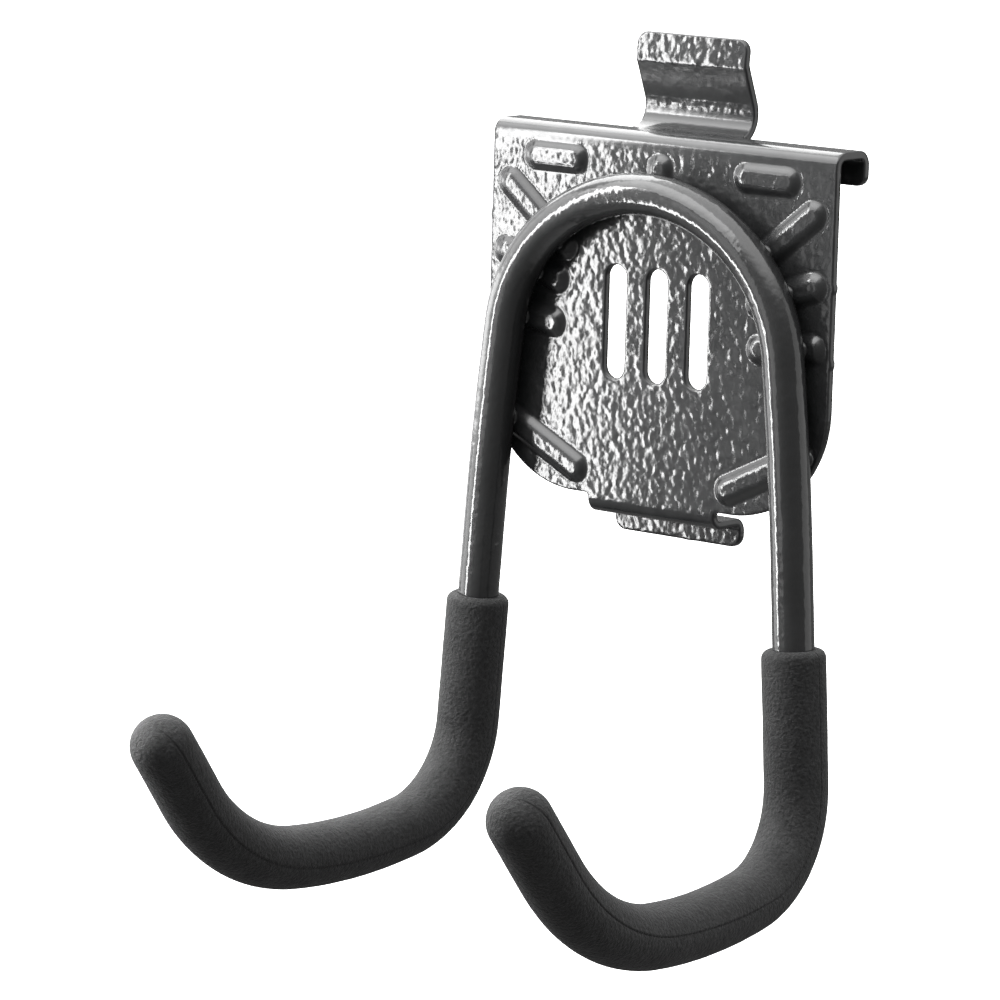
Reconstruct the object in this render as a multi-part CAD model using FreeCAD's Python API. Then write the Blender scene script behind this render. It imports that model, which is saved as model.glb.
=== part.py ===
"""Twin-arm storage hook for a wall track: a pressed steel back plate, one bent round bar
welded on its front, and two closed-end moulded rubber grips.

Millimetres. +X is to the right seen from the front, +Y goes back to the wall, +Z is up.
The origin is the hang line: the middle of the plate, at the plane of its back face and
the underside of its top flange, which sits on the track's ledge.
"""
import FreeCAD, Part
import math
import os

V = FreeCAD.Vector

# ---------------------------------------------------------------- driving dimensions
SHEET = 2.0                 # thickness of the steel sheet
FOLD_IN = 1.5               # inside radius of every fold
FOLD_MID = FOLD_IN + SHEET / 2

PLATE_WIDTH = 100.0
PLATE_BOTTOM = -84.5        # lower edge of the flat plate
PLATE_CORNER = 27.0         # radius of the two lower corners
REAR = 11.0                 # how far the lips and the lower tab stand behind the back face

LIP_DROP = 6.4              # the top lips reach this far below the flange's underside
LIP_INNER_END = 19.5        # the lips start this far from the middle
LIP_CORNER = 3.0

UPPER_TAB_WIDTH = 32.0
UPPER_TAB_BEND = 6.1        # radius of the sheet's middle line where the tab turns up
UPPER_TAB_LEAN = 22.6       # degrees that the tab leans forward from upright
UPPER_TAB_KNEE = (9.0, 18.6)    # (y, z) of the middle line where the tab turns upright again
UPPER_TAB_TOP = (9.7, 24.6)
SHOULDER_END = 8.5          # the flange reaches back this far beside the tab
TAB_CORNER = 3.0

TONGUE_WIDTH = 37.0
TONGUE_UNDERSIDE = -89.0
LOWER_TAB_BOTTOM = -94.3

RIB_WIDTH = 7.6             # outside width of a pressed rib at its foot
RIB_HEIGHT = 1.3
RIB_SLOPE = 1.7             # how far each flank leans in
RIB_GROOVE_WIDTH = 5.2      # the hollow behind each rib

SLOT_LENGTH = 27.0          # three plain upright slots through the plate
SLOT_WIDTH = 6.0
SLOT_PITCH = 12.0
SLOT_COUNT = 3
SLOT_CENTRE_Z = -43.0

BAR_DIAMETER = 9.8          # 9.5 mm bar under its coat
BAR_Y = -7.2                # the bar's centreline stands this far in front of the back face
ARCH_TOP_Z = -11.6          # the bar's centreline at the crown of the arch
ARCH_BENDS = [(43.0, 42.0), (37.0, 41.0), (900.0, 3.0)]    # crown, shoulder and bowed leg
LEG_LENGTH = 50.4           # straight run from the bow to the hook's first bend
TOE_OUT = 2.0               # each hook turns outward about its leg
HOOK_BENDS = [(24.4, 80.4), (148.6, 14.8), (52.4, 47.2)]   # radius and angle of each bend
HOOK_END = 17.0             # straight end of the hook
BAR_END_EXTRA = 2.0         # the bar runs this far into the grip's domed end
BAR_END_CHAMFER = 0.8

GRIP_DIAMETER = 15.0
GRIP_START = 19.5           # the grips start this far down the straight runs
GRIP_RIM_FILLET = 1.6
GRIP_MOUTH_DIAMETER = 10.8  # the bore opens out a little at the mouth
GRIP_MOUTH_DEPTH = 1.6

WELD_ALONG = 2.8            # half sizes of the fused metal where the bar crosses a rib
WELD_ACROSS = 4.1
WELD_THICK = 1.4

PLATE_FRONT = -SHEET

# Pressed ribs on the right half: (x, z) of the round ends' centres. Each has a mirror
# twin on the left half, apart from the upright one in the middle.
MIDDLE_RIB = ((0.0, -13.5), (0.0, -6.0))
TOP_RIB = ((25.0, -5.8), (36.5, -5.8))
CROSSING_RIBS = [
    ((27.5, -26.3), (44.0, -12.8)),
    ((29.6, -34.6), (44.8, -29.2)),
    ((30.2, -45.0), (45.0, -43.4)),
    ((22.5, -78.8), (43.0, -68.6)),
]


# ---------------------------------------------------------------- small helpers
def extrude_profile(points, x_from, x_to, radii=None):
    """A folded strip of sheet. The points are its middle line in Y and Z."""
    wire = filleted_wire(points, radii or [FOLD_MID] * (len(points) - 2))
    face = thicken(wire)
    face.translate(V(x_from, 0, 0))
    return face.extrude(V(x_to - x_from, 0, 0))


def filleted_wire(points, radii):
    """Straight runs through (y, z) points, joined by an arc at each inner point."""
    corners = [V(0, y, z) for y, z in points]
    edges = []
    start = corners[0]
    for before, corner, after, radius in zip(corners, corners[1:], corners[2:], radii):
        to_before = (before - corner).normalize()
        to_after = (after - corner).normalize()
        half = to_before.getAngle(to_after) / 2
        reach = radius / math.tan(half)
        arc_start = corner + to_before * reach
        arc_end = corner + to_after * reach
        inward = (to_before + to_after).normalize()
        arc_middle = corner + inward * (radius / math.sin(half) - radius)
        edges.append(Part.LineSegment(start, arc_start).toShape())
        edges.append(Part.Arc(arc_start, arc_middle, arc_end).toShape())
        start = arc_end
    edges.append(Part.LineSegment(start, corners[-1]).toShape())
    return Part.Wire(edges)


def thicken(middle_wire):
    """The face of a strip of sheet about its middle line."""
    one_side = middle_wire.makeOffset2D(SHEET / 2, openResult=True)
    other_side = middle_wire.makeOffset2D(-SHEET / 2, openResult=True)
    ends = []
    for index in (0, -1):
        a = one_side.OrderedVertexes[index].Point
        b = other_side.OrderedVertexes[index].Point
        c = other_side.OrderedVertexes[-1 - index].Point
        nearest = b if a.distanceToPoint(b) < a.distanceToPoint(c) else c
        ends.append(Part.LineSegment(a, nearest).toShape())
    edges = Part.sortEdges(one_side.Edges + other_side.Edges + ends)[0]
    return Part.Face(Part.Wire(edges))


def obround_wire(start, end, radius, y):
    """A closed outline with round ends, about the line from start to end, at one Y."""
    a = V(start[0], y, start[1])
    b = V(end[0], y, end[1])
    along = (b - a).normalize()
    side = V(-along.z, 0, along.x)
    return Part.Wire([
        Part.LineSegment(a + side * radius, b + side * radius).toShape(),
        Part.Arc(b + side * radius, b + along * radius, b - side * radius).toShape(),
        Part.LineSegment(b - side * radius, a - side * radius).toShape(),
        Part.Arc(a - side * radius, a - along * radius, a + side * radius).toShape(),
    ])


def tapered_obround(ends, foot_radius, top_radius, foot_y, top_y):
    foot = obround_wire(*ends, foot_radius, foot_y)
    top = obround_wire(*ends, top_radius, top_y)
    return Part.makeLoft([foot, top], True, True)


def mirrored(shape):
    return shape.mirror(V(0, 0, 0), V(1, 0, 0))


def mirrored_ends(ends):
    return tuple((-x, z) for x, z in ends)


def round_corners(solid, radius, at_corner):
    """Fillets the straight edges along Y whose middle the test picks."""
    edges = []
    for edge in solid.Edges:
        is_line = isinstance(edge.Curve, Part.Line)
        if is_line and at_corner(edge.CenterOfMass) and is_corner_edge(edge):
            edges.append(edge)
    return solid.makeFillet(radius, edges)


def is_corner_edge(edge):
    """Across the sheet's thickness, and not along a fold."""
    direction = edge.tangentAt(edge.FirstParameter)
    return abs(direction.x) < 0.01 and abs(edge.Length - SHEET) < 0.05


# ---------------------------------------------------------------- back plate
def all_ribs():
    """Every rib's pair of end centres, left and right."""
    ribs = [MIDDLE_RIB]
    for ends in [TOP_RIB] + CROSSING_RIBS:
        ribs += [ends, mirrored_ends(ends)]
    return ribs


def plate_panel():
    """The flat front panel below the top fold, with its two large lower corners."""
    half = PLATE_WIDTH / 2
    top = -FOLD_IN
    panel = Part.makeBox(PLATE_WIDTH, SHEET, top - PLATE_BOTTOM, V(-half, -SHEET, PLATE_BOTTOM))
    lower = [edge for edge in panel.Edges
             if abs(edge.Length - SHEET) < 0.01 and edge.CenterOfMass.z < PLATE_BOTTOM + 1]
    return panel.makeFillet(PLATE_CORNER, lower)


def top_lips():
    """The top fold and flange over the whole width, ending in a lip at each side."""
    middle_y = -SHEET / 2
    middle_z = SHEET / 2
    rear_y = REAR - SHEET / 2
    line = [(middle_y, -FOLD_IN - 1), (middle_y, middle_z), (rear_y, middle_z), (rear_y, -LIP_DROP)]
    half = PLATE_WIDTH / 2
    lip = extrude_profile(line, LIP_INNER_END, half)
    at_end = lambda p: p.z < -LIP_DROP + 0.1 and p.y > SHEET
    lip = round_corners(lip, LIP_CORNER, at_end)
    return [lip, mirrored(lip)]


def upper_tab():
    """The middle of the flange runs further back and turns up into a springy tab."""
    middle_y = -SHEET / 2
    middle_z = SHEET / 2
    knee_y, knee_z = UPPER_TAB_KNEE
    root_y = knee_y + (knee_z - middle_z) * math.tan(math.radians(UPPER_TAB_LEAN))
    line = [
        (middle_y, -FOLD_IN - 1), (middle_y, middle_z), (root_y, middle_z),
        UPPER_TAB_KNEE, UPPER_TAB_TOP,
    ]
    half = UPPER_TAB_WIDTH / 2
    tab = extrude_profile(line, -half, half, [FOLD_MID, UPPER_TAB_BEND, FOLD_MID])
    at_end = lambda p: p.z > UPPER_TAB_TOP[1] - 0.3
    tab = round_corners(tab, TAB_CORNER, at_end)
    shoulder_line = [(middle_y, -FOLD_IN - 1), (middle_y, middle_z), (SHOULDER_END, middle_z)]
    shoulders = extrude_profile(shoulder_line, -LIP_INNER_END, LIP_INNER_END)
    return tab.fuse(shoulders)


def lower_tongue():
    """The middle of the lower edge folds back and then down into the lower tab."""
    middle_y = -SHEET / 2
    shelf_z = TONGUE_UNDERSIDE + SHEET / 2
    rear_y = REAR - SHEET / 2
    line = [(middle_y, PLATE_BOTTOM + 1), (middle_y, shelf_z), (rear_y, shelf_z), (rear_y, LOWER_TAB_BOTTOM)]
    half = TONGUE_WIDTH / 2
    tongue = extrude_profile(line, -half, half)
    at_end = lambda p: p.z < LOWER_TAB_BOTTOM + 0.1
    return round_corners(tongue, LIP_CORNER, at_end)


def rib_solids():
    """Raised obround ribs with leaning flanks on the front face."""
    foot = RIB_WIDTH / 2
    return [tapered_obround(ends, foot, foot - RIB_SLOPE, PLATE_FRONT, PLATE_FRONT - RIB_HEIGHT)
            for ends in all_ribs()]


def rib_grooves():
    """The hollows that the press leaves behind the ribs."""
    foot = RIB_GROOVE_WIDTH / 2
    return [tapered_obround(ends, foot, foot - RIB_SLOPE, 0.0, -RIB_HEIGHT) for ends in all_ribs()]


def slot_cutters():
    cutters = []
    reach = SLOT_LENGTH / 2 - SLOT_WIDTH / 2
    for index in range(SLOT_COUNT):
        x = (index - (SLOT_COUNT - 1) / 2) * SLOT_PITCH
        ends = ((x, SLOT_CENTRE_Z - reach), (x, SLOT_CENTRE_Z + reach))
        wire = obround_wire(*ends, SLOT_WIDTH / 2, 1.0)
        cutters.append(Part.Face(wire).extrude(V(0, -SHEET - 2.0, 0)))
    return cutters


def back_plate(bar):
    plate = plate_panel()
    plate = plate.fuse(top_lips() + [upper_tab(), lower_tongue()])
    plate = plate.removeSplitter()
    plate = plate.fuse(rib_solids())
    plate = plate.cut(rib_grooves() + slot_cutters())
    return plate.cut(bar).removeSplitter()


# ---------------------------------------------------------------- bar and grips
class BarPath:
    """Straight runs and tangent arcs in space, followed from a start point."""

    def __init__(self, start, heading, inward):
        self.point = start
        self.heading = heading
        self.inward = inward
        self.edges = []

    def straight(self, length):
        end = self.point + self.heading * length
        self.edges.append(Part.LineSegment(self.point, end).toShape())
        self.point = end

    def bend(self, radius, degrees):
        centre = self.point + self.inward * radius
        heading, inward = self.heading, self.inward
        places = []
        for share in (0.5, 1.0):
            turn = math.radians(degrees * share)
            self.heading = heading * math.cos(turn) + inward * math.sin(turn)
            self.inward = inward * math.cos(turn) - heading * math.sin(turn)
            places.append(centre - self.inward * radius)
        self.edges.append(Part.Arc(self.point, places[0], places[1]).toShape())
        self.point = places[1]

    def rod(self, radius):
        """A round rod about the whole path: cylinders and parts of rings."""
        pieces = []
        for edge in self.edges:
            start = edge.valueAt(edge.FirstParameter)
            direction = edge.tangentAt(edge.FirstParameter)
            disc = Part.Face(Part.Wire([Part.makeCircle(radius, start, direction)]))
            if isinstance(edge.Curve, Part.Line):
                pieces.append(disc.extrude(direction * edge.Length))
            else:
                arc = edge.Curve
                turn = math.degrees(edge.Length / arc.Radius)
                pieces.append(disc.revolve(arc.Center, arc.Axis, turn))
        return pieces[0].fuse(pieces[1:]).removeSplitter()


def arch_half():
    """From the crown of the arch down to the straight run of the right leg."""
    path = BarPath(V(0, BAR_Y, ARCH_TOP_Z), V(1, 0, 0), V(0, 0, -1))
    for radius, degrees in ARCH_BENDS:
        path.bend(radius, degrees)
    return path


def follow_hook(path, end_length):
    """From the foot of the right leg to the hook's end. The hook toes out a little."""
    toe = math.radians(TOE_OUT)
    outward = V(0, -1, 0).cross(path.heading)
    path.inward = V(0, -1, 0) * math.cos(toe) + outward * math.sin(toe)
    for radius, degrees in HOOK_BENDS:
        path.bend(radius, degrees)
    path.straight(end_length)


def hook_bar():
    """One length of round bar: arch, two legs and two hooks."""
    path = arch_half()
    path.straight(LEG_LENGTH)
    follow_hook(path, HOOK_END + BAR_END_EXTRA)
    half = path.rod(BAR_DIAMETER / 2)
    tip = [edge for edge in half.Edges if is_ring_at(edge, path.point)]
    half = half.makeChamfer(BAR_END_CHAMFER, tip)
    return half.fuse(mirrored(half)).removeSplitter()


def is_ring_at(edge, place):
    """True for the round edge whose centre is at a place."""
    return isinstance(edge.Curve, Part.Circle) and edge.Curve.Center.distanceToPoint(place) < 0.01


def grip(bar):
    """The right grip: a thick sleeve with a rounded mouth and a domed closed end."""
    leg = arch_half()
    path = BarPath(leg.point + leg.heading * GRIP_START, leg.heading, leg.inward)
    mouth = path.point
    down = path.heading
    path.straight(LEG_LENGTH - GRIP_START)
    follow_hook(path, HOOK_END)
    sleeve = path.rod(GRIP_DIAMETER / 2)
    rim = [edge for edge in sleeve.Edges if is_ring_at(edge, mouth)]
    sleeve = sleeve.makeFillet(GRIP_RIM_FILLET, rim)
    dome = Part.makeSphere(GRIP_DIAMETER / 2, path.point)
    sleeve = sleeve.fuse(dome).removeSplitter()
    relief = Part.makeCylinder(GRIP_MOUTH_DIAMETER / 2, GRIP_MOUTH_DEPTH, mouth, down)
    return sleeve.cut([bar, relief])


# ---------------------------------------------------------------- welds
def bar_crossing(ends):
    """Where the bar's centreline crosses a rib, seen from the front, and its direction."""
    path = arch_half()
    path.straight(LEG_LENGTH)
    rib = Part.LineSegment(V(ends[0][0], BAR_Y, ends[0][1]), V(ends[1][0], BAR_Y, ends[1][1])).toShape()
    centreline = Part.Wire(path.edges)
    nearest = centreline.distToShape(rib)[1]
    point = nearest[0][0]
    for edge in path.edges:
        if edge.distToShape(Part.Vertex(point))[0] < 0.01:
            return point, edge.tangentAt(edge.Curve.parameter(point))
    raise ValueError("the bar does not cross this rib")


def weld(ends, bar, plate):
    """The fused metal on both sides of the bar where it lies across a rib."""
    point, along = bar_crossing(ends)
    ball = Part.makeSphere(1.0)
    matrix = FreeCAD.Matrix()
    matrix.scale(V(WELD_ALONG, WELD_THICK, WELD_ACROSS))
    blob = ball.transformGeometry(matrix)
    turn = math.degrees(math.atan2(-along.z, along.x))
    blob.rotate(V(0, 0, 0), V(0, 1, 0), turn)
    blob.translate(V(point.x, PLATE_FRONT - RIB_HEIGHT, point.z))
    return blob.cut([bar, plate]).Solids


def rod_welds(bar, plate):
    pieces = []
    for ends in [MIDDLE_RIB] + CROSSING_RIBS:
        right = weld(ends, bar, plate)
        pieces += right
        if ends is not MIDDLE_RIB:
            pieces += [mirrored(piece) for piece in right]
    return Part.makeCompound(pieces)


# ---------------------------------------------------------------- write the nodes
def main():
    os.makedirs("parts", exist_ok=True)
    bar = hook_bar()
    plate = back_plate(bar)
    right_grip = grip(bar)
    nodes = {
        "back_plate": plate,
        "hook_bar": bar,
        "left_grip": mirrored(right_grip),
        "right_grip": right_grip,
        "rod_welds": rod_welds(bar, plate),
    }
    for name, shape in nodes.items():
        shape.exportStep("parts/" + name + ".step")
        box = shape.BoundBox
        print(name, "valid", shape.isValid(), "solids", len(shape.Solids), "volume", round(shape.Volume, 1),
              "x", round(box.XMin, 1), round(box.XMax, 1), "y", round(box.YMin, 1), round(box.YMax, 1),
              "z", round(box.ZMin, 1), round(box.ZMax, 1))


main()
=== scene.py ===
"""The looks of a twin-arm wall-track storage hook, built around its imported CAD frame.

The pressed plate, the bent bar and the two moulded grips are rebuilt as finer meshes in
the same places as their CAD solids. The welds keep their CAD mesh. Lengths of the object are
millimetres in the CAD frame, and mesh_object() turns them into metres. The stage is in metres.
"""
import math

import bmesh
import bpy
import numpy as np
from mathutils import Matrix, Vector, geometry, noise


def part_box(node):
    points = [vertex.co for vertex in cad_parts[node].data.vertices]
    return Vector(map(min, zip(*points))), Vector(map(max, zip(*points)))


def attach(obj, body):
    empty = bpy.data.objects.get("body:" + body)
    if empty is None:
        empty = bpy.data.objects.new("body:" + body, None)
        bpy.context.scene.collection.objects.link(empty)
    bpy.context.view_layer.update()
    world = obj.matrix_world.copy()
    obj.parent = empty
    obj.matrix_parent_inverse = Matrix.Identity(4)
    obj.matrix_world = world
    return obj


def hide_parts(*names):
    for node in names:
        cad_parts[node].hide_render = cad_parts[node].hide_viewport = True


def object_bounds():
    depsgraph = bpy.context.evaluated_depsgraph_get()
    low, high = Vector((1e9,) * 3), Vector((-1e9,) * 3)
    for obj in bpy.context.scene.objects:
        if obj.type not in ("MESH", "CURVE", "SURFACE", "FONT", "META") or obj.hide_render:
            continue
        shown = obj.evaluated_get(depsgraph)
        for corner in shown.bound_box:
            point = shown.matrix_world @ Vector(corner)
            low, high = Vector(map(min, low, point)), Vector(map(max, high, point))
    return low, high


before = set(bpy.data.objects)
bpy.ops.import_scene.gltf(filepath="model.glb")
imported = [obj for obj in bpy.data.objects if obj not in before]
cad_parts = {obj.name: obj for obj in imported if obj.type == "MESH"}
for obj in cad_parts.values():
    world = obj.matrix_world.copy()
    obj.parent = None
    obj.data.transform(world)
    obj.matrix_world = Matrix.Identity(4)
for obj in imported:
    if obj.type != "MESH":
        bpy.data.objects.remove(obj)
cad_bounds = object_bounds()

MM = 0.001

# ---------------------------------------------------------------- sizes, in millimetres
SHEET = 2.0
FOLD_MID = 2.5              # radius of the sheet's middle line at a fold
EDGE_ROUND = 0.45           # the coat rounds every cut edge
HALF_WIDTH = 50.0
PLATE_BOTTOM = -84.5
PLATE_CORNER = 27.0
REAR = 11.0
LIP_DROP = 6.4
LIP_INNER_END = 19.5
UPPER_TAB_HALF = 16.0
UPPER_TAB_BEND = 6.1        # radius of the middle line where the tab turns up
UPPER_TAB_LEAN = math.radians(22.6)
UPPER_TAB_KNEE = (9.0, 18.6)
UPPER_TAB_TOP = (9.7, 24.6)
SHOULDER_END = 8.5
TONGUE_HALF = 18.5
TONGUE_MIDDLE_Z = -88.0
LOWER_TAB_BOTTOM = -94.3
TAB_CORNER = 3.0
SHEET_GRID = 0.5            # spacing of the mesh points over the flat pattern
HAMMERED_RELIEF = 0.04      # the larger, gentle part of the coat's relief
RELIEF_WAVELENGTH = 1.5
BACK_SHIFT = 20.0           # takes the back's relief from another place in the noise

RIB_HEIGHT = 1.3
RIB_FOOT = 4.0              # distance from the rib's line where its flank starts to rise
RIB_CREST = 1.5             # and where it is flat again
GROOVE_FOOT = 2.9           # the same for the hollow behind the rib
GROOVE_CREST = 0.9
MIDDLE_RIB = ((0.0, -13.5), (0.0, -6.0))
SIDE_RIBS = [
    ((25.0, -5.8), (36.5, -5.8)),
    ((27.5, -26.3), (44.0, -12.8)),
    ((29.6, -34.6), (44.8, -29.2)),
    ((30.2, -45.0), (45.0, -43.4)),
    ((22.5, -78.8), (43.0, -68.6)),
]
SLOT_XS = (-12.0, 0.0, 12.0)
SLOT_RADIUS = 3.0
SLOT_REACH = 10.5
SLOT_CENTRE_Z = -43.0

BAR_RADIUS = 4.9
BAR_Y = -7.2
ARCH_TOP_Z = -11.6
ARCH_BENDS = [(43.0, 42.0), (37.0, 41.0), (900.0, 3.0)]     # radius and angle of each
LEG_LENGTH = 50.4
TOE_OUT = 2.0
HOOK_BENDS = [(24.4, 80.4), (148.6, 14.8), (52.4, 47.2)]
HOOK_END = 17.0
GRIP_RADIUS = 7.5
GRIP_START = 19.5
GRIP_RIM = 2.0
GRIP_MOUTH_RADIUS = 5.4
GRIP_BORE = [(4.0, BAR_RADIUS + 0.02), (2.4, BAR_RADIUS + 0.1), (1.4, GRIP_MOUTH_RADIUS - 0.15),
             (0.7, GRIP_MOUTH_RADIUS), (0.35, GRIP_MOUTH_RADIUS + 0.12)]     # depth and radius
ROUND_RINGS = len(GRIP_BORE) + 5            # the rings in the mouth and over its lip stay true circles
DOME_SQUARENESS = 0.94      # 1 is a ball, and less is a flatter end
TIP_RISE = 0.02             # the tip stands this much past the ball
PATH_STEP = 0.8             # spacing of the rings along the bar and the grips
BAR_SIDES = 64
GRIP_SIDES = 104
BAR_WAVES = [(0.035, 6.0), (0.012, 2.2)]    # height and wavelength of the unevenness
GRIP_WAVES = [(0.07, 14.0), (0.03, 4.0)]
SEAM_ANGLE = math.radians(4.0)              # where a grip's parting line lies round it
SEAM_GROOVE = 0.16
SEAM_GROOVE_WIDTH = 0.2
SEAM_STEP = 0.06            # the mould's halves don't quite meet
SEAM_STEP_WIDTH = 0.9
SEAM_OFFSETS = [-0.6, -0.4, -0.25, -0.12, 0.0, 0.12, 0.25, 0.4, 0.6]        # extra mesh lines beside it
SEAM_CLEARANCE = 0.03       # radians kept free of even mesh lines round each of those


# ---------------------------------------------------------------- mesh helpers
def mesh_object(name, points, faces, material):
    """A smooth-shaded object from points in millimetres."""
    mesh = bpy.data.meshes.new(name)
    mesh.from_pydata((points * MM).tolist(), [], faces)
    mesh.validate()
    tidy = bmesh.new()
    tidy.from_mesh(mesh)
    bmesh.ops.recalc_face_normals(tidy, faces=tidy.faces)
    tidy.to_mesh(mesh)
    tidy.free()
    mesh.polygons.foreach_set("use_smooth", [True] * len(mesh.polygons))
    mesh.materials.append(material)
    piece = bpy.data.objects.new(name, mesh)
    bpy.context.scene.collection.objects.link(piece)
    return piece


def add_point_value(piece, name, values):
    """A number at each vertex, which a material may read by name."""
    attribute = piece.data.attributes.new(name, "FLOAT", "POINT")
    attribute.data.foreach_set("value", np.asarray(values, np.float32))


def quads_between(upper, lower):
    """Quads that join two closed rings of point numbers."""
    corners = zip(upper, np.roll(upper, -1), np.roll(lower, -1), lower)
    return [tuple(map(int, quad)) for quad in corners]


def fan(middle, start, around):
    """Triangles that close the ring from point start to a point at its middle."""
    return [(middle, start + i, start + (i + 1) % around) for i in range(around)]


def smooth_step(value, low, high):
    share = np.clip((value - low) / (high - low), 0.0, 1.0)
    return share * share * (3.0 - 2.0 * share)


def ripple(points, wavelength, seed):
    """Smooth noise from -1 to 1 at each point."""
    shift = Vector((seed * 17.3, seed * 5.1, seed * 9.7))
    return np.array([noise.noise(Vector(p) / wavelength + shift) for p in points])


def ripples(points, waves, seed):
    """Several ripples together, each given as its height and wavelength."""
    return sum(height * ripple(points, wavelength, seed + index)
               for index, (height, wavelength) in enumerate(waves))


def unit(vector):
    vector = np.asarray(vector, float)
    return vector / np.linalg.norm(vector)


def cross2(a, b):
    return a[0] * b[1] - a[1] * b[0]


# ---------------------------------------------------------------- folded sheet
FOLD_POINTS = 17            # points along each fold
SLOT_END_POINTS = 21        # points round each end of a slot
CORNER_STEP = 0.4           # spacing of the points round the outline's corners


def folded_line(corners, radii):
    """Arc lengths, places and directions along straight runs joined by folds."""
    places = [np.array(corners[0], float)]
    first = unit(np.subtract(corners[1], corners[0]))
    angles = [math.atan2(first[1], first[0])]
    for before, corner, after, radius in zip(corners, corners[1:], corners[2:], radii):
        corner = np.array(corner, float)
        heading_in = unit(corner - before)
        heading_out = unit(np.array(after) - corner)
        angle_in = math.atan2(heading_in[1], heading_in[0])
        turn = math.atan2(cross2(heading_in, heading_out), heading_in @ heading_out)
        reach = radius * math.tan(abs(turn) / 2)
        start = corner - heading_in * reach
        side = math.copysign(1.0, turn)
        centre = start + side * radius * np.array([-heading_in[1], heading_in[0]])
        for share in np.linspace(0.0, 1.0, FOLD_POINTS):
            angle = angle_in + turn * share
            outward = -side * np.array([-math.sin(angle), math.cos(angle)])
            places.append(centre + outward * radius)
            angles.append(angle)
    last = np.array(corners[-1], float)
    final = last - places[-1]
    angles.append(math.atan2(final[1], final[0]))
    places.append(last)
    places = np.array(places)
    runs = np.linalg.norm(np.diff(places, axis=0), axis=1)
    lengths = np.concatenate([[0.0], np.cumsum(runs)])
    return lengths, places, np.unwrap(np.array(angles))


PANEL_MIDDLE = -40.0        # where the distance along the sheet equals the height Z
MIDDLE_Y = -SHEET / 2       # the sheet's middle line, in the panel, the flange and the rear faces
MIDDLE_Z = SHEET / 2
REAR_Y = REAR - SHEET / 2


class Fold:
    """Maps a distance along the sheet to a place and a front-side normal in Y and Z."""

    def __init__(self, corners, downward=False, radii=(FOLD_MID, FOLD_MID)):
        start = (MIDDLE_Y, PANEL_MIDDLE)
        self.lengths, self.places, self.angles = folded_line([start] + corners, radii)
        self.sign = -1.0 if downward else 1.0

    def end(self):
        return PANEL_MIDDLE + self.sign * self.lengths[-1]

    def at(self, t):
        along = (t - PANEL_MIDDLE) * self.sign
        y = np.interp(along, self.lengths, self.places[:, 0])
        z = np.interp(along, self.lengths, self.places[:, 1])
        angle = np.interp(along, self.lengths, self.angles)
        heading_y = np.cos(angle) * self.sign
        heading_z = np.sin(angle) * self.sign
        return y, z, -heading_z, heading_y


TAB_ROOT_Y = UPPER_TAB_KNEE[0] + (UPPER_TAB_KNEE[1] - MIDDLE_Z) * math.tan(UPPER_TAB_LEAN)
LIP_FOLD = Fold([(MIDDLE_Y, MIDDLE_Z), (REAR_Y, MIDDLE_Z), (REAR_Y, -LIP_DROP)])
TAB_FOLD = Fold([(MIDDLE_Y, MIDDLE_Z), (TAB_ROOT_Y, MIDDLE_Z), UPPER_TAB_KNEE, UPPER_TAB_TOP],
                radii=(FOLD_MID, UPPER_TAB_BEND, FOLD_MID))
TONGUE_FOLD = Fold([(MIDDLE_Y, TONGUE_MIDDLE_Z), (REAR_Y, TONGUE_MIDDLE_Z), (REAR_Y, LOWER_TAB_BOTTOM)],
                   downward=True)


def place_on_sheet(x, t, depth):
    """Flat pattern (x, t) and depth about the middle line, to points in space."""
    results = [fold.at(t) for fold in (TONGUE_FOLD, TAB_FOLD, LIP_FOLD)]
    below = t <= PANEL_MIDDLE
    in_tab = np.abs(x) < UPPER_TAB_HALF + 0.1
    y, z, normal_y, normal_z = (
        np.where(below, low, np.where(in_tab, tab, lip)) for low, tab, lip in zip(*results))
    return np.column_stack([x, y + normal_y * depth, z + normal_z * depth])


def rounded_outline(corners):
    """(x, t, radius) corners of a closed outline, to points along it."""
    points = []
    count = len(corners)
    for index in range(count):
        before, here, after = corners[index - 1], corners[index], corners[(index + 1) % count]
        corner = np.array(here[:2], float)
        to_before, to_after = unit(before[:2] - corner), unit(after[:2] - corner)
        radius = here[2]
        half = math.acos(np.clip(to_before @ to_after, -1, 1)) / 2
        reach = radius / math.tan(half)
        centre = corner + unit(to_before + to_after) * radius / math.sin(half)
        start = corner + to_before * reach - centre
        end = corner + to_after * reach - centre
        turn = math.atan2(cross2(start, end), start @ end)
        steps = max(4, int(abs(turn) * radius / CORNER_STEP))
        for share in np.linspace(0.0, 1.0, steps + 1):
            c, s = math.cos(turn * share), math.sin(turn * share)
            turned = np.array([start[0] * c - start[1] * s, start[0] * s + start[1] * c])
            points.append(centre + turned)
    return np.array(points)


def even_points(outline, spacing):
    """A closed outline with extra points on its long runs."""
    result = []
    for a, b in zip(outline, np.roll(outline, -1, axis=0)):
        steps = max(1, int(round(np.linalg.norm(b - a) / spacing)))
        for share in np.arange(steps) / steps:
            result.append(a + (b - a) * share)
    return np.array(result)


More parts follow.
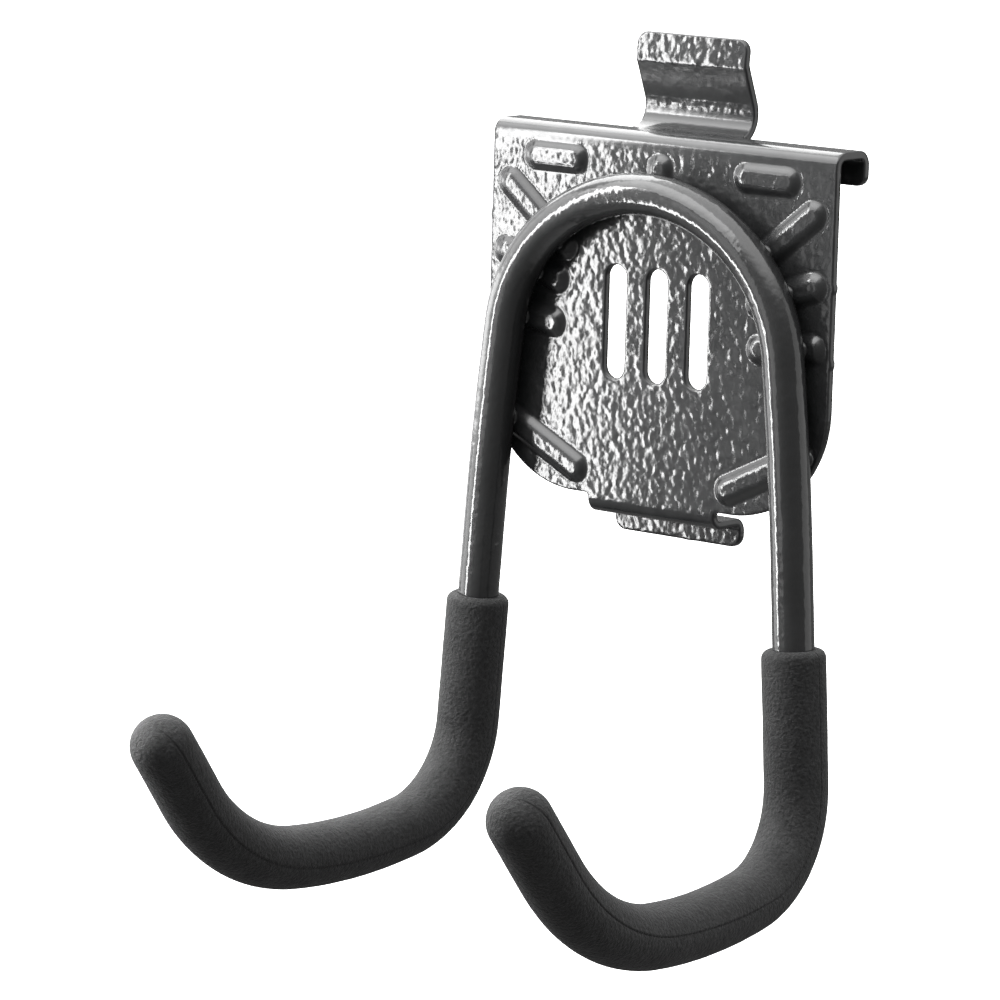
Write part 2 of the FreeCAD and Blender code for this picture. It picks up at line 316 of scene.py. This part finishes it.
def sheet_outline():
    """The blank's outline before folding, from the top middle round by the right."""
    top = TAB_FOLD.end()
    lip_end = LIP_FOLD.end()
    low = TONGUE_FOLD.end()
    shoulder = top_flat_distance(SHOULDER_END)
    right = [
        (UPPER_TAB_HALF, top, TAB_CORNER),
        (UPPER_TAB_HALF, shoulder, 1.2),
        (LIP_INNER_END, shoulder, 1.0),
        (LIP_INNER_END, lip_end, 2.6),
        (HALF_WIDTH, lip_end, 2.6),
        (HALF_WIDTH, PLATE_BOTTOM, PLATE_CORNER),
        (TONGUE_HALF, PLATE_BOTTOM, 1.0),
        (TONGUE_HALF, low, TAB_CORNER),
    ]
    left = [(-x, t, radius) for x, t, radius in reversed(right)]
    outline = even_points(rounded_outline(right + left), SHEET_GRID)
    return add_shear_marks(outline)


def top_flat_distance(y):
    """Where the flange's middle line reaches y, as a distance along the sheet."""
    return MIDDLE_Z - FOLD_MID + FOLD_MID * math.pi / 2 + (y - (MIDDLE_Y + FOLD_MID))


# Small stubs where the blank was cut from its strip: place on the outline, length, height.
SHEAR_MARKS = [((-50.0, -21.0), 2.4, 0.3), ((50.0, -29.0), 2.0, 0.3), ((50.0, -46.5), 2.0, 0.28),
               ((-20.0, 10.0), 2.0, 0.2), ((3.5, -103.2), 3.0, 0.25)]


def outward_normals(outline, is_hole):
    ahead = np.roll(outline, -1, axis=0) - np.roll(outline, 1, axis=0)
    ahead /= np.linalg.norm(ahead, axis=1)[:, None]
    normals = np.column_stack([-ahead[:, 1], ahead[:, 0]])
    x, t = outline.T
    area = 0.5 * np.sum(x * np.roll(t, -1) - np.roll(x, -1) * t)
    if area > 0:
        normals = -normals
    return -normals if is_hole else normals


def add_shear_marks(outline):
    normals = outward_normals(outline, False)
    for centre, length, height in SHEAR_MARKS:
        away = np.linalg.norm(outline - np.array(centre), axis=1)
        rise = height * (1 - smooth_step(away, 0.25 * length, 0.6 * length))
        outline = outline + normals * rise[:, None]
    return outline


def slot_outline(x):
    low, high = SLOT_CENTRE_Z - SLOT_REACH, SLOT_CENTRE_Z + SLOT_REACH
    points = []
    for centre, start in ((high, 0.0), (low, math.pi)):
        for share in np.linspace(0.0, 1.0, SLOT_END_POINTS):
            angle = start + math.pi * share
            points.append((x + SLOT_RADIUS * math.cos(angle), centre + SLOT_RADIUS * math.sin(angle)))
    return even_points(np.array(points), SHEET_GRID)


def distance_to_segment(x, t, ends):
    a, b = np.array(ends[0]), np.array(ends[1])
    along = b - a
    share = np.clip(((x - a[0]) * along[0] + (t - a[1]) * along[1]) / (along @ along), 0, 1)
    return np.hypot(x - a[0] - share * along[0], t - a[1] - share * along[1])


def rib_distance(x, t):
    ribs = [MIDDLE_RIB] + SIDE_RIBS
    return np.min([distance_to_segment(np.abs(x), t, ends) for ends in ribs], axis=0)


def inside_outline(points, outline):
    """True for points inside a closed outline."""
    inside = np.zeros(len(points), bool)
    for a, b in zip(outline, np.roll(outline, -1, axis=0)):
        crosses = (a[1] > points[:, 1]) != (b[1] > points[:, 1])
        if not crosses.any():
            continue
        at = (b[0] - a[0]) * (points[crosses, 1] - a[1]) / (b[1] - a[1]) + a[0]
        inside[crosses] ^= points[crosses, 0] < at
    return inside


def inside_pattern(points, loops):
    """True for points inside the outer loop and outside the holes."""
    inside = inside_outline(points, loops[0])
    for hole in loops[1:]:
        inside &= ~inside_outline(points, hole)
    return inside


def clear_of(points, loops, gap):
    """True for points further than gap from every loop's points."""
    keep = np.ones(len(points), bool)
    for loop in loops:
        for p in loop:
            near = (np.abs(points[:, 0] - p[0]) < gap) & (np.abs(points[:, 1] - p[1]) < gap)
            keep &= ~near
    return keep


def flat_mesh(loops):
    """Triangles over the flat pattern between an outer loop and holes."""
    lengths = loops[0][:, 1]
    xs = np.arange(-HALF_WIDTH, HALF_WIDTH + 0.1, SHEET_GRID)
    ts = np.arange(lengths.min(), lengths.max(), SHEET_GRID)
    grid_x, grid_t = np.meshgrid(xs, ts)
    grid_x[1::2] += SHEET_GRID / 2
    grid = np.column_stack([grid_x.ravel(), grid_t.ravel()])
    grid = grid[inside_pattern(grid, loops)]
    grid = grid[clear_of(grid, loops, 0.55 * SHEET_GRID)]
    edges, start = [], 0
    for loop in loops:
        count = len(loop)
        edges += [(start + i, start + (i + 1) % count) for i in range(count)]
        start += count
    points = np.vstack(loops + [grid])
    result = geometry.delaunay_2d_cdt([Vector(p) for p in points], edges, [], 0, 1e-7, True)
    places = np.array([tuple(v) for v in result[0]])
    if len(places) != len(points):
        raise ValueError("the flat pattern's points were merged")
    order = np.empty(len(points), int)
    for new, olds in enumerate(result[3]):
        for old in olds:
            order[new] = old
    triangles = np.array([[order[i] for i in face] for face in result[2]])
    middles = points[triangles].mean(axis=1)
    return points, triangles[inside_pattern(middles, loops)]


def build_plate(material):
    """The pressed and folded sheet, with ribs, hollows behind them, slots and round edges."""
    outlines = [sheet_outline()] + [slot_outline(x) for x in SLOT_XS]
    normals = [outward_normals(o, index > 0) for index, o in enumerate(outlines)]
    inset = [o - n * EDGE_ROUND for o, n in zip(outlines, normals)]
    flat, triangles = flat_mesh(inset)
    count = len(flat)
    half = SHEET / 2
    parts = [np.column_stack([flat, np.full(count, depth)]) for depth in (half, -half)]
    faces = triangles.tolist() + (triangles[:, ::-1] + count).tolist()
    base = 2 * count
    start = 0
    for outline, outward in zip(outlines, normals):
        size = len(outline)
        rings = edge_rings(outline, outward, half)
        ids = [np.arange(start, start + size)]
        for ring in rings:
            parts.append(ring)
            ids.append(np.arange(base, base + size))
            base += size
        ids.append(np.arange(start, start + size) + count)
        for upper, lower in zip(ids, ids[1:]):
            faces += quads_between(upper, lower)
        start += size
    pattern = np.vstack(parts)
    return shape_plate(pattern, faces, material)


def edge_rings(outline, outward, half):
    """The rings of points round a cut edge, from just under the front to just over the back."""
    rings = []
    for degrees in (30, 60, 90):
        angle = math.radians(degrees)
        inset = EDGE_ROUND * (1 - math.sin(angle))
        depth = half - EDGE_ROUND + EDGE_ROUND * math.cos(angle)
        rings.append((inset, depth))
    rings += [(0.0, 0.0)] + [(inset, -depth) for inset, depth in reversed(rings)]
    return [np.column_stack([outline - outward * inset, np.full(len(outline), depth)])
            for inset, depth in rings]


def shape_plate(pattern, faces, material):
    x, t, depth = pattern.T
    away = rib_distance(x, t)
    front = RIB_HEIGHT * (1 - smooth_step(away, RIB_CREST, RIB_FOOT))
    back = RIB_HEIGHT * (1 - smooth_step(away, GROOVE_CREST, GROOVE_FOOT))
    strength = pebble_strength(t, away)
    places = np.column_stack([x, t, np.sign(depth) * BACK_SHIFT])
    relief = HAMMERED_RELIEF * ripple(places, RELIEF_WAVELENGTH, 3) * strength
    depth = depth + np.where(depth > 0, front, back) + relief
    points = place_on_sheet(x, t, depth)
    plate = mesh_object("pressed_plate", points, faces, material)
    add_point_value(plate, "pebble", strength)
    return plate


# Stretches of the flat pattern with calmer relief: where each starts, softly, and where it ends.
CALM_FLANGE = ((-2.6, -1.2), (17.0, 18.0))
CALM_LEAN = ((19.8, 20.8), (28.6, 29.6))
CALM_TONGUE = ((-99.5, -98.5), (-86.2, -85.0))
CALM_FLANK = ((RIB_CREST - 0.5, RIB_CREST + 0.3), (RIB_FOOT - 0.3, RIB_FOOT + 0.5))    # from a rib's line
LEAN_CALMNESS = 0.8         # the tab's leaning middle keeps a little more relief than the folds
MOST_CALMED = 0.85          # the share of the relief that the calmest places lose


def band(value, rise, fall):
    """1 between two soft edges, each given as its start and end, and 0 outside them."""
    return smooth_step(value, *rise) * (1 - smooth_step(value, *fall))


def pebble_strength(t, away):
    """How strong the hammered relief is: weaker on rib flanks, in folds and on the leaning tab."""
    calm = np.max([band(away, *CALM_FLANK), band(t, *CALM_FLANGE), band(t, *CALM_TONGUE),
                   LEAN_CALMNESS * band(t, *CALM_LEAN)], axis=0)
    return 1.0 - MOST_CALMED * calm


# ---------------------------------------------------------------- bar and grips
class Path:
    """Samples of straight runs and tangent bends: places, headings and distances travelled."""

    def __init__(self, start, heading, inward):
        self.point = np.array(start, float)
        self.heading = unit(heading)
        self.inward = unit(inward)
        self.places, self.headings, self.travel = [], [], []
        self.done = 0.0

    def note(self, point, heading, travelled):
        self.places.append(point)
        self.headings.append(heading)
        self.travel.append(travelled)

    def straight(self, length):
        steps = max(1, int(round(length / PATH_STEP)))
        for share in np.arange(steps) / steps:
            place = self.point + self.heading * length * share
            self.note(place, self.heading, self.done + length * share)
        self.point = self.point + self.heading * length
        self.done += length

    def bend(self, radius, degrees):
        centre = self.point + self.inward * radius
        heading, inward = self.heading, self.inward
        length = radius * math.radians(degrees)
        steps = max(2, int(round(length / PATH_STEP)))
        for share in np.arange(steps) / steps:
            turn = math.radians(degrees * share)
            now = inward * math.cos(turn) - heading * math.sin(turn)
            ahead = heading * math.cos(turn) + inward * math.sin(turn)
            self.note(centre - now * radius, ahead, self.done + length * share)
        turn = math.radians(degrees)
        self.heading = heading * math.cos(turn) + inward * math.sin(turn)
        self.inward = inward * math.cos(turn) - heading * math.sin(turn)
        self.point = centre - self.inward * radius
        self.done += length

    def finish(self):
        self.note(self.point, self.heading, self.done)
        return np.array(self.places), np.array(self.headings), np.array(self.travel)


def half_arch():
    """The right half of the arch, from its crown to the start of the leg."""
    path = Path((0, BAR_Y, ARCH_TOP_Z), (1, 0, 0), (0, 0, -1))
    for radius, degrees in ARCH_BENDS:
        path.bend(radius, degrees)
    return path


def add_hook(path):
    """The hook at the end of a leg, out to the bar's tip."""
    toe = math.radians(TOE_OUT)
    outward = np.cross((0, -1, 0), path.heading)
    path.inward = np.array([0.0, -1.0, 0.0]) * math.cos(toe) + outward * math.sin(toe)
    for radius, degrees in HOOK_BENDS:
        path.bend(radius, degrees)
    path.straight(HOOK_END)


def mirrored_points(points):
    return points * np.array([-1.0, 1.0, 1.0])


def steady_sides(headings, first):
    """A side vector for each heading that never twists about the line."""
    sides = [unit(first - headings[0] * (first @ headings[0]))]
    for heading in headings[1:]:
        side = sides[-1] - heading * (sides[-1] @ heading)
        sides.append(unit(side))
    return np.array(sides)


def tube(places, headings, sides, radii, angles):
    """Rings of points about a line. Returns the points and the quads between the rings."""
    binormals = np.cross(headings, sides)
    around = len(angles)
    points = []
    for place, side, binormal, radius in zip(places, sides, binormals, radii):
        across = np.outer(np.cos(angles) * radius, side)
        points.append(place + across + np.outer(np.sin(angles) * radius, binormal))
    quads = []
    for row in range(len(places) - 1):
        ring = row * around + np.arange(around)
        quads += quads_between(ring, ring + around)
    return np.vstack(points), quads


def even_angles(count):
    return np.linspace(0, 2 * math.pi, count, endpoint=False)


def bar_line():
    """The right half of the bar's line, from the crown into the grip's end."""
    path = half_arch()
    path.straight(LEG_LENGTH)
    add_hook(path)
    return path.finish()


def build_bar(material):
    """One round bar from tip to tip, with the coat's slight unevenness in its radius."""
    places, headings, _ = bar_line()
    left = mirrored_points(places[:0:-1])
    left_heading = -mirrored_points(headings[:0:-1])
    line = np.vstack([left, places])
    heading = np.vstack([left_heading, headings])
    sides = steady_sides(heading, np.array([1.0, 0.0, 0.0]))
    radii = np.full(len(line), BAR_RADIUS)
    points, faces = tube(line, heading, sides, radii, even_angles(BAR_SIDES))
    centres = np.repeat(line, BAR_SIDES, axis=0)
    out = (points - centres) / BAR_RADIUS
    points += out * ripples(points, BAR_WAVES, 1)[:, None]
    last = len(points)
    points = np.vstack([points, line[:1], line[-1:]])
    faces += fan(last, 0, BAR_SIDES) + fan(last + 1, last - BAR_SIDES, BAR_SIDES)
    return mesh_object("bent_bar", points, faces, material)


def grip_line():
    """The right grip's line, from its mouth on the leg to the centre of its domed end."""
    arch = half_arch()
    path = Path(arch.point + arch.heading * GRIP_START, arch.heading, arch.inward)
    path.straight(LEG_LENGTH - GRIP_START)
    add_hook(path)
    return path.finish()


def grip_rim(place, heading):
    """Places and radii of the rings from the bore over the rounded mouth."""
    rings = list(GRIP_BORE)
    rim_centre = GRIP_RADIUS - GRIP_RIM
    for degrees in np.linspace(-40, 80, 9):
        angle = math.radians(degrees)
        rings.append((GRIP_RIM * (1 - math.cos(angle)), rim_centre + GRIP_RIM * math.sin(angle)))
    return [(place + heading * depth, radius) for depth, radius in rings]


def grip_dome(place, heading):
    """Places and radii of the rings over the closed end, a little flatter than a ball."""
    rings = []
    for degrees in np.linspace(5, 88, 18):
        angle = math.radians(degrees)
        rise = GRIP_RADIUS * math.sin(angle)
        radius = GRIP_RADIUS * math.cos(angle) ** DOME_SQUARENESS
        rings.append((place + heading * rise, radius))
    return rings


def parting_share(angles, width):
    """1 on the parting line on both sides of the grip, and 0 away from it."""
    share = np.zeros(len(angles))
    for centre in (SEAM_ANGLE, SEAM_ANGLE + math.pi):
        off = np.angle(np.exp(1j * (angles - centre))) * GRIP_RADIUS
        share += np.exp(-(off / width) ** 2)
    return share


def angles_with_seams():
    """Even angles, with closer ones at both parting lines."""
    extra = SEAM_ANGLE + np.array(SEAM_OFFSETS) / GRIP_RADIUS
    even = even_angles(GRIP_SIDES)
    near = np.concatenate([extra, extra + math.pi])
    away = np.abs(np.angle(np.exp(1j * (even[:, None] - near[None, :])))).min(axis=1)
    return np.sort(np.concatenate([even[away > SEAM_CLEARANCE], near]) % (2 * math.pi))


def build_grip(name, material, is_left, seed):
    """One moulded sleeve: rounded open mouth, closed domed end and parting line."""
    places, headings, travel = grip_line()
    mouth = grip_rim(places[0], headings[0])
    dome = grip_dome(places[-1], headings[-1])
    body = travel > GRIP_RIM * 0.9
    rings = mouth + [(p, GRIP_RADIUS) for p in places[body]] + dome
    line = np.array([place for place, _ in rings])
    radii = np.array([radius for _, radius in rings])
    heading = np.vstack([np.repeat(headings[:1], len(mouth), 0), headings[body],
                         np.repeat(headings[-1:], len(dome), 0)])
    first = np.cross((0, -1, 0), headings[0])
    sides = steady_sides(heading, first)
    ring_angles = angles_with_seams()
    around = len(ring_angles)
    points, faces = tube(line, heading, sides, radii, ring_angles)
    out = points - np.repeat(line, around, axis=0)
    out = out / np.linalg.norm(out, axis=1)[:, None]
    angles = np.tile(ring_angles, len(line))
    share = np.repeat(radii / GRIP_RADIUS, around)
    outside = np.repeat((np.arange(len(line)) >= ROUND_RINGS).astype(float), around)
    parting = parting_share(angles, SEAM_GROOVE_WIDTH) * outside * np.minimum(1, share * 4)
    step = np.sign(np.sin(angles - SEAM_ANGLE)) * parting_share(angles, SEAM_STEP_WIDTH) * share
    rise = SEAM_STEP * step + ripples(points, GRIP_WAVES, seed)
    points = points + out * (rise * outside - SEAM_GROOVE * parting)[:, None]
    top = len(points)
    tip = places[-1] + headings[-1] * (GRIP_RADIUS + TIP_RISE)
    points = np.vstack([points, tip[None]])
    faces += fan(top, top - around, around)
    if is_left:
        points = mirrored_points(points)
    piece = mesh_object(name, points, faces, material)
    add_point_value(piece, "parting", np.append(parting, 0.0))
    return piece


# ---------------------------------------------------------------- materials
class Nodes:
    """Short calls for making a material's nodes. Wavelengths are in millimetres."""

    def __init__(self, name):
        self.material = bpy.data.materials.new(name)
        self.material.use_nodes = True
        self.tree = self.material.node_tree
        self.shader = self.tree.nodes["Principled BSDF"]
        coordinates = self.tree.nodes.new("ShaderNodeTexCoord")
        mapping = self.tree.nodes.new("ShaderNodeMapping")
        mapping.inputs["Scale"].default_value = (1000, 1000, 1000)
        self.link(coordinates.outputs["Object"], mapping.inputs["Vector"])
        self.vector = mapping.outputs["Vector"]

    def link(self, source, target):
        self.tree.links.new(source, target)

    def noise(self, wavelength, detail=2.0, roughness=0.5):
        node = self.tree.nodes.new("ShaderNodeTexNoise")
        node.inputs["Scale"].default_value = 1 / wavelength
        node.inputs["Detail"].default_value = detail
        node.inputs["Roughness"].default_value = roughness
        self.link(self.vector, node.inputs["Vector"])
        return node.outputs["Fac"]

    def ramp(self, value, low, high):
        """From one colour or number to another, as value goes between two places."""
        node = self.tree.nodes.new("ShaderNodeValToRGB")
        for element, (place, colour) in zip(node.color_ramp.elements, (low, high)):
            element.position = place
            element.color = (*colour, 1.0) if isinstance(colour, tuple) else (colour, colour, colour, 1.0)
        self.link(value, node.inputs["Fac"])
        return node.outputs["Color"]

    def math(self, operation, a, b, clamp=False):
        node = self.tree.nodes.new("ShaderNodeMath")
        node.operation = operation
        node.use_clamp = clamp
        for socket, value in zip(node.inputs, (a, b)):
            if isinstance(value, (int, float)):
                socket.default_value = value
            else:
                self.link(value, socket)
        return node.outputs["Value"]

    def attribute(self, name):
        node = self.tree.nodes.new("ShaderNodeAttribute")
        node.attribute_name = name
        return node.outputs["Fac"]

    def bump(self, height, distance, below=None):
        node = self.tree.nodes.new("ShaderNodeBump")
        node.inputs["Strength"].default_value = 1.0
        node.inputs["Distance"].default_value = distance
        self.link(height, node.inputs["Height"])
        if below is not None:
            self.link(below, node.inputs["Normal"])
        return node.outputs["Normal"]

    def gloss_over_rough(self, gloss, body):
        """A clear gloss skin on a body that scatters light widely, as a flaked coat does."""
        scatter = self.ramp(self.noise(4.0), (0.3, 0.56), (0.7, 0.64))
        self.link(scatter, self.shader.inputs["Roughness"])
        skin = self.ramp(self.noise(3.0, 3.0), (0.3, gloss[0]), (0.8, gloss[1]))
        self.link(skin, self.shader.inputs["Coat Roughness"])
        self.set(Metallic=0.0, IOR=1.5, Specular_IOR_Level=body, Coat_Weight=1.0, Coat_IOR=1.5)

    def dent(self, normal):
        """The same relief for the body and for its gloss skin."""
        self.link(normal, self.shader.inputs["Normal"])
        self.link(normal, self.shader.inputs["Coat Normal"])

    def set(self, **values):
        for name, value in values.items():
            self.shader.inputs[name.replace("_", " ")].default_value = value


def hammered_coat():
    """Glossy dark grey hammered powder coat."""
    nodes = Nodes("hammered_coat")
    small = nodes.math("MULTIPLY", nodes.noise(1.5, 0.6, 0.4), 0.8)
    large = nodes.math("MULTIPLY", nodes.noise(2.6, 0.0, 0.4), 0.55)
    pebbles = nodes.math("MULTIPLY", nodes.math("ADD", small, large), nodes.attribute("pebble"))
    colour = nodes.ramp(nodes.noise(7.0, 3.0, 0.6),
                        (0.25, (0.010, 0.0103, 0.0107)), (0.75, (0.022, 0.0225, 0.023)))
    nodes.link(colour, nodes.shader.inputs["Base Color"])
    nodes.gloss_over_rough((0.14, 0.19), 0.07)
    hammered = nodes.bump(pebbles, 0.000165)
    nodes.dent(nodes.bump(nodes.noise(0.9, 1.0), 0.000004, below=hammered))
    return nodes.material


def smooth_coat():
    """The same coat on the bar, where it flows out to a slight orange peel."""
    nodes = Nodes("smooth_coat")
    colour = nodes.ramp(nodes.noise(9.0, 3.0, 0.6),
                        (0.25, (0.006, 0.0062, 0.0064)), (0.75, (0.011, 0.0113, 0.0117)))
    nodes.link(colour, nodes.shader.inputs["Base Color"])
    nodes.gloss_over_rough((0.09, 0.14), 0.26)
    nodes.dent(nodes.bump(nodes.noise(2.0, 1.5), 0.00010))
    return nodes.material


def grip_rubber():
    """Matte charcoal rubber with the fine grain of its mould, and painted shade darkening it along the
    parting line.
    """
    nodes = Nodes("grip_rubber")
    # Painted shade: the colour is made darker along the parting line's groove, as shadow in the crease.
    parting_line_painted_shade = nodes.math("MULTIPLY", nodes.attribute("parting"), 0.5)
    speck = nodes.math("SUBTRACT", nodes.noise(0.9, 3.0, 0.7), parting_line_painted_shade, clamp=True)
    colour = nodes.ramp(speck, (0.38, (0.0008, 0.0008, 0.0009)), (0.66, (0.0125, 0.0128, 0.0132)))
    nodes.link(colour, nodes.shader.inputs["Base Color"])
    rough = nodes.ramp(nodes.noise(5.0, 3.0), (0.3, 0.62), (0.8, 0.82))
    nodes.link(rough, nodes.shader.inputs["Roughness"])
    nodes.set(Sheen_Weight=0.07, Sheen_Roughness=0.5, Specular_IOR_Level=0.34)
    grain = nodes.bump(nodes.noise(0.85, 3.0, 0.65), 0.00055)
    nodes.link(grain, nodes.shader.inputs["Normal"])
    return nodes.material


def floor_paper():
    """Plain pale studio floor that glows a little, so that it stays near white."""
    nodes = Nodes("floor_paper")
    colour = nodes.ramp(nodes.noise(60.0), (0.3, 0.93), (0.7, 0.95))
    nodes.link(colour, nodes.shader.inputs["Base Color"])
    nodes.set(Roughness=0.9, Specular_IOR_Level=0.0)
    nodes.set(Emission_Color=(1, 1, 1, 1), Emission_Strength=0.92)
    return nodes.material


# ---------------------------------------------------------------- stage, light and camera
FLOOR_RADIUS = 12.0
FLOOR_SIDES = 48
FLOOR_DROP = 0.30           # the hook hangs on a wall, so the floor is well below it


def build_floor():
    mesh = bpy.data.meshes.new("floor")
    height = cad_bounds[0].z - FLOOR_DROP
    ring = [(FLOOR_RADIUS * math.cos(angle), FLOOR_RADIUS * math.sin(angle), height)
            for angle in even_angles(FLOOR_SIDES)]
    mesh.from_pydata(ring, [], [tuple(range(FLOOR_SIDES))])
    mesh.materials.append(floor_paper())
    floor = bpy.data.objects.new("floor", mesh)
    bpy.context.scene.collection.objects.link(floor)
    floor.visible_glossy = False
    floor.visible_diffuse = False


def direction(azimuth, elevation):
    """Unit vector towards azimuth (0 is the front, 90 the right) and elevation, in degrees."""
    a, e = math.radians(azimuth), math.radians(elevation)
    return Vector((math.sin(a) * math.cos(e), -math.cos(a) * math.cos(e), math.sin(e)))


def softbox(name, azimuth, elevation, distance, width, height, radiance):
    """A rectangular studio light that faces the object, in metres."""
    light = bpy.data.lights.new(name, "AREA")
    light.shape = "RECTANGLE"
    light.size, light.size_y = width, height
    light.energy = radiance * math.pi * width * height
    lamp = bpy.data.objects.new(name, light)
    bpy.context.scene.collection.objects.link(lamp)
    towards = direction(azimuth, elevation)
    low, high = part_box("back_plate")
    lamp.location = (low + high) / 2 + towards * distance
    lamp.rotation_mode = "QUATERNION"
    lamp.rotation_quaternion = towards.to_track_quat("Z", "Y")
    lamp.visible_camera = False


# Each light's azimuth, elevation, distance, width, height and radiance.
SOFTBOXES = {
    "key": (-45, 3, 0.25, 0.036, 0.30, 25.0),
    "front_fill": (-20, 3, 0.80, 0.30, 0.50, 1.3),
    "upper_left": (-118, 40, 0.75, 0.60, 0.50, 5.0),
    "side": (-68, 5, 0.80, 0.48, 0.75, 3.0),
    "side_strip": (-80, -3, 0.79, 0.48, 0.16, 4.5),
    "side_rear": (-108, 10, 0.85, 0.60, 0.75, 1.3),
    "overhead": (-32, 47, 0.90, 0.95, 0.72, 4.2),
    "rear_right": (125, 8, 0.90, 0.80, 0.80, 0.9),
}


def build_lights():
    for name, values in SOFTBOXES.items():
        softbox(name, *values)


# The room's glow, as shares of its brightness at elevations in degrees.
ROOM_BRIGHTNESS = 3.4
ROOM_GLOW = [(-90, 0.20), (-65, 0.13), (-48, 0.06), (-16, 0.07), (22, 0.07), (33, 0.16), (54, 1.0)]


def build_world():
    world = bpy.data.worlds.new("studio")
    bpy.context.scene.world = world
    world.use_nodes = True
    tree = world.node_tree
    tree.nodes.clear()
    seen = tree.nodes.new("ShaderNodeBackground")
    seen.inputs["Color"].default_value = (1, 1, 1, 1)
    seen.inputs["Strength"].default_value = 1.0
    around = tree.nodes.new("ShaderNodeBackground")
    around.inputs["Strength"].default_value = ROOM_BRIGHTNESS
    coordinates = tree.nodes.new("ShaderNodeTexCoord")
    split = tree.nodes.new("ShaderNodeSeparateXYZ")
    height = tree.nodes.new("ShaderNodeMapRange")
    height.inputs["From Min"].default_value = -1.0
    room = tree.nodes.new("ShaderNodeValToRGB")
    while len(room.color_ramp.elements) < len(ROOM_GLOW):
        room.color_ramp.elements.new(0.5)
    for element, (elevation, glow) in zip(room.color_ramp.elements, ROOM_GLOW):
        element.position = (math.sin(math.radians(elevation)) + 1) / 2
        element.color = (glow, glow, glow, 1)
    tree.links.new(coordinates.outputs["Generated"], split.inputs["Vector"])
    tree.links.new(split.outputs["Z"], height.inputs["Value"])
    tree.links.new(height.outputs["Result"], room.inputs["Fac"])
    tree.links.new(room.outputs["Color"], around.inputs["Color"])
    path = tree.nodes.new("ShaderNodeLightPath")
    mix = tree.nodes.new("ShaderNodeMixShader")
    output = tree.nodes.new("ShaderNodeOutputWorld")
    tree.links.new(path.outputs["Is Camera Ray"], mix.inputs["Fac"])
    tree.links.new(around.outputs["Background"], mix.inputs[1])
    tree.links.new(seen.outputs["Background"], mix.inputs[2])
    tree.links.new(mix.outputs["Shader"], output.inputs["Surface"])


CAMERA_PLACE = (748.998, -993.712, 126.240)     # millimetres
CAMERA_RIGHT = (0.77742549, 0.62837022, 0.02757669)
CAMERA_UP = (-0.12650681, 0.11326667, 0.9854779)
CAMERA_LENS = 193.44


def build_camera():
    data = bpy.data.cameras.new("camera")
    data.lens = CAMERA_LENS
    data.sensor_width = 36.0
    data.clip_start, data.clip_end = 0.05, 60.0
    camera = bpy.data.objects.new("camera", data)
    bpy.context.scene.collection.objects.link(camera)
    right, up = Vector(CAMERA_RIGHT).normalized(), Vector(CAMERA_UP).normalized()
    back = right.cross(up)
    turn = Matrix((right, up, back)).transposed()
    camera.matrix_world = Matrix.Translation(Vector(CAMERA_PLACE) * MM) @ turn.to_4x4()
    bpy.context.scene.camera = camera


# ---------------------------------------------------------------- put it together
def paint_node(name, material):
    """Gives a CAD node that stays in view its material."""
    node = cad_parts[name]
    node.data.materials.clear()
    node.data.materials.append(material)


def stand_for(piece, node):
    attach(piece, "root")
    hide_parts(node)


def main():
    hammered, smooth, rubber = hammered_coat(), smooth_coat(), grip_rubber()
    stand_for(build_plate(hammered), "back_plate")
    stand_for(build_bar(smooth), "hook_bar")
    stand_for(build_grip("grip_left", rubber, True, 5), "left_grip")
    stand_for(build_grip("grip_right", rubber, False, 9), "right_grip")
    paint_node("rod_welds", smooth)
    build_floor()
    build_lights()
    build_world()
    build_camera()
    bpy.context.scene.view_settings.view_transform = "Standard"


main()
